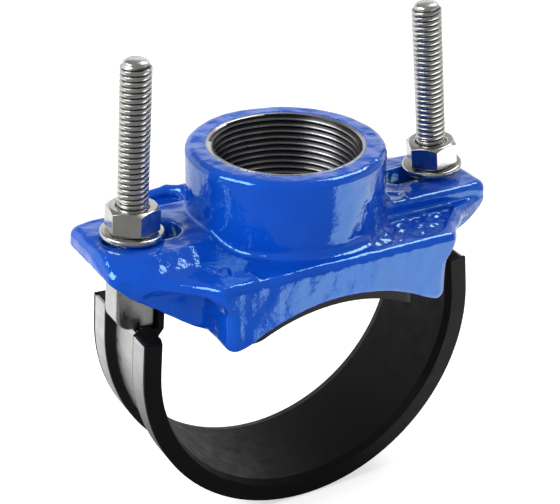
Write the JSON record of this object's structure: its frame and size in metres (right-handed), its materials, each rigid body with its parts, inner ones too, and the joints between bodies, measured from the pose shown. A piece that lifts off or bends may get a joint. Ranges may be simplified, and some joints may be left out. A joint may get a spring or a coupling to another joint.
{
  "type": "tapping saddle",
  "caption": "Blue cast-iron tapping saddle with a threaded outlet, held to a pipe by a rubber-lined stainless strap on threaded studs.",
  "frame": {"origin": "on the pipe's axis, at the middle of the strap's width", "axes": "+Z the way the outlet points, away from the pipe; Y along the pipe"},
  "size_m": [0.1696, 0.0936, 0.2002],
  "materials": {
    "blue_coating": "gloss",
    "stainless": "satin",
    "stainless_sheet": "satin",
    "seal_rubber": "matte"
  },
  "bodies": {
    "strap": {"strap_band": "stainless_sheet", "strap_lining": "seal_rubber", "left_strap_block": "stainless", "right_strap_block": "stainless", "left_stud": "stainless", "right_stud": "stainless"},
    "saddle": {"saddle_casting": "blue_coating", "saddle_gasket": "seal_rubber"},
    "left_washer_body": {"left_washer": "stainless"},
    "left_nut_body": {"left_nut": "stainless"},
    "right_washer_body": {"right_washer": "stainless"},
    "right_nut_body": {"right_nut": "stainless"}
  },
  "joints": [
    {"name": "strap_draw", "type": "slide", "parent": "strap", "child": "saddle", "axis": [0, 0, 1], "range_m": [-0.003, 0.055]},
    {"name": "left_washer_lift", "type": "slide", "parent": "strap", "child": "left_washer_body", "axis": [0.0576, 0, 0.9983], "range_m": [-0.00311, 0.05519]},
    {"name": "left_nut_turn", "type": "hinge", "parent": "left_washer_body", "child": "left_nut_body", "pos_m": [-0.06656, 0, 0.05916], "axis": [0.0576, 0, 0.9983], "range_deg": [-623.2, 11338.1]},
    {"name": "right_washer_lift", "type": "slide", "parent": "strap", "child": "right_washer_body", "axis": [-0.1097, 0, 0.994], "range_m": [-0.00312, 0.05543]},
    {"name": "right_nut_turn", "type": "hinge", "parent": "right_washer_body", "child": "right_nut_body", "pos_m": [0.06897, 0, 0.06271], "axis": [-0.1097, 0, 0.994], "range_deg": [-625.9, 11388]}
  ],
  "couplings": [
    {"joint": "left_washer_lift", "follows": "strap_draw", "ratio": 1.0017},
    {"joint": "left_nut_turn", "follows": "strap_draw", "rad_per_m": 3596.4},
    {"joint": "right_washer_lift", "follows": "strap_draw", "ratio": 1.0061},
    {"joint": "right_nut_turn", "follows": "strap_draw", "rad_per_m": 3612.2}
  ]
}
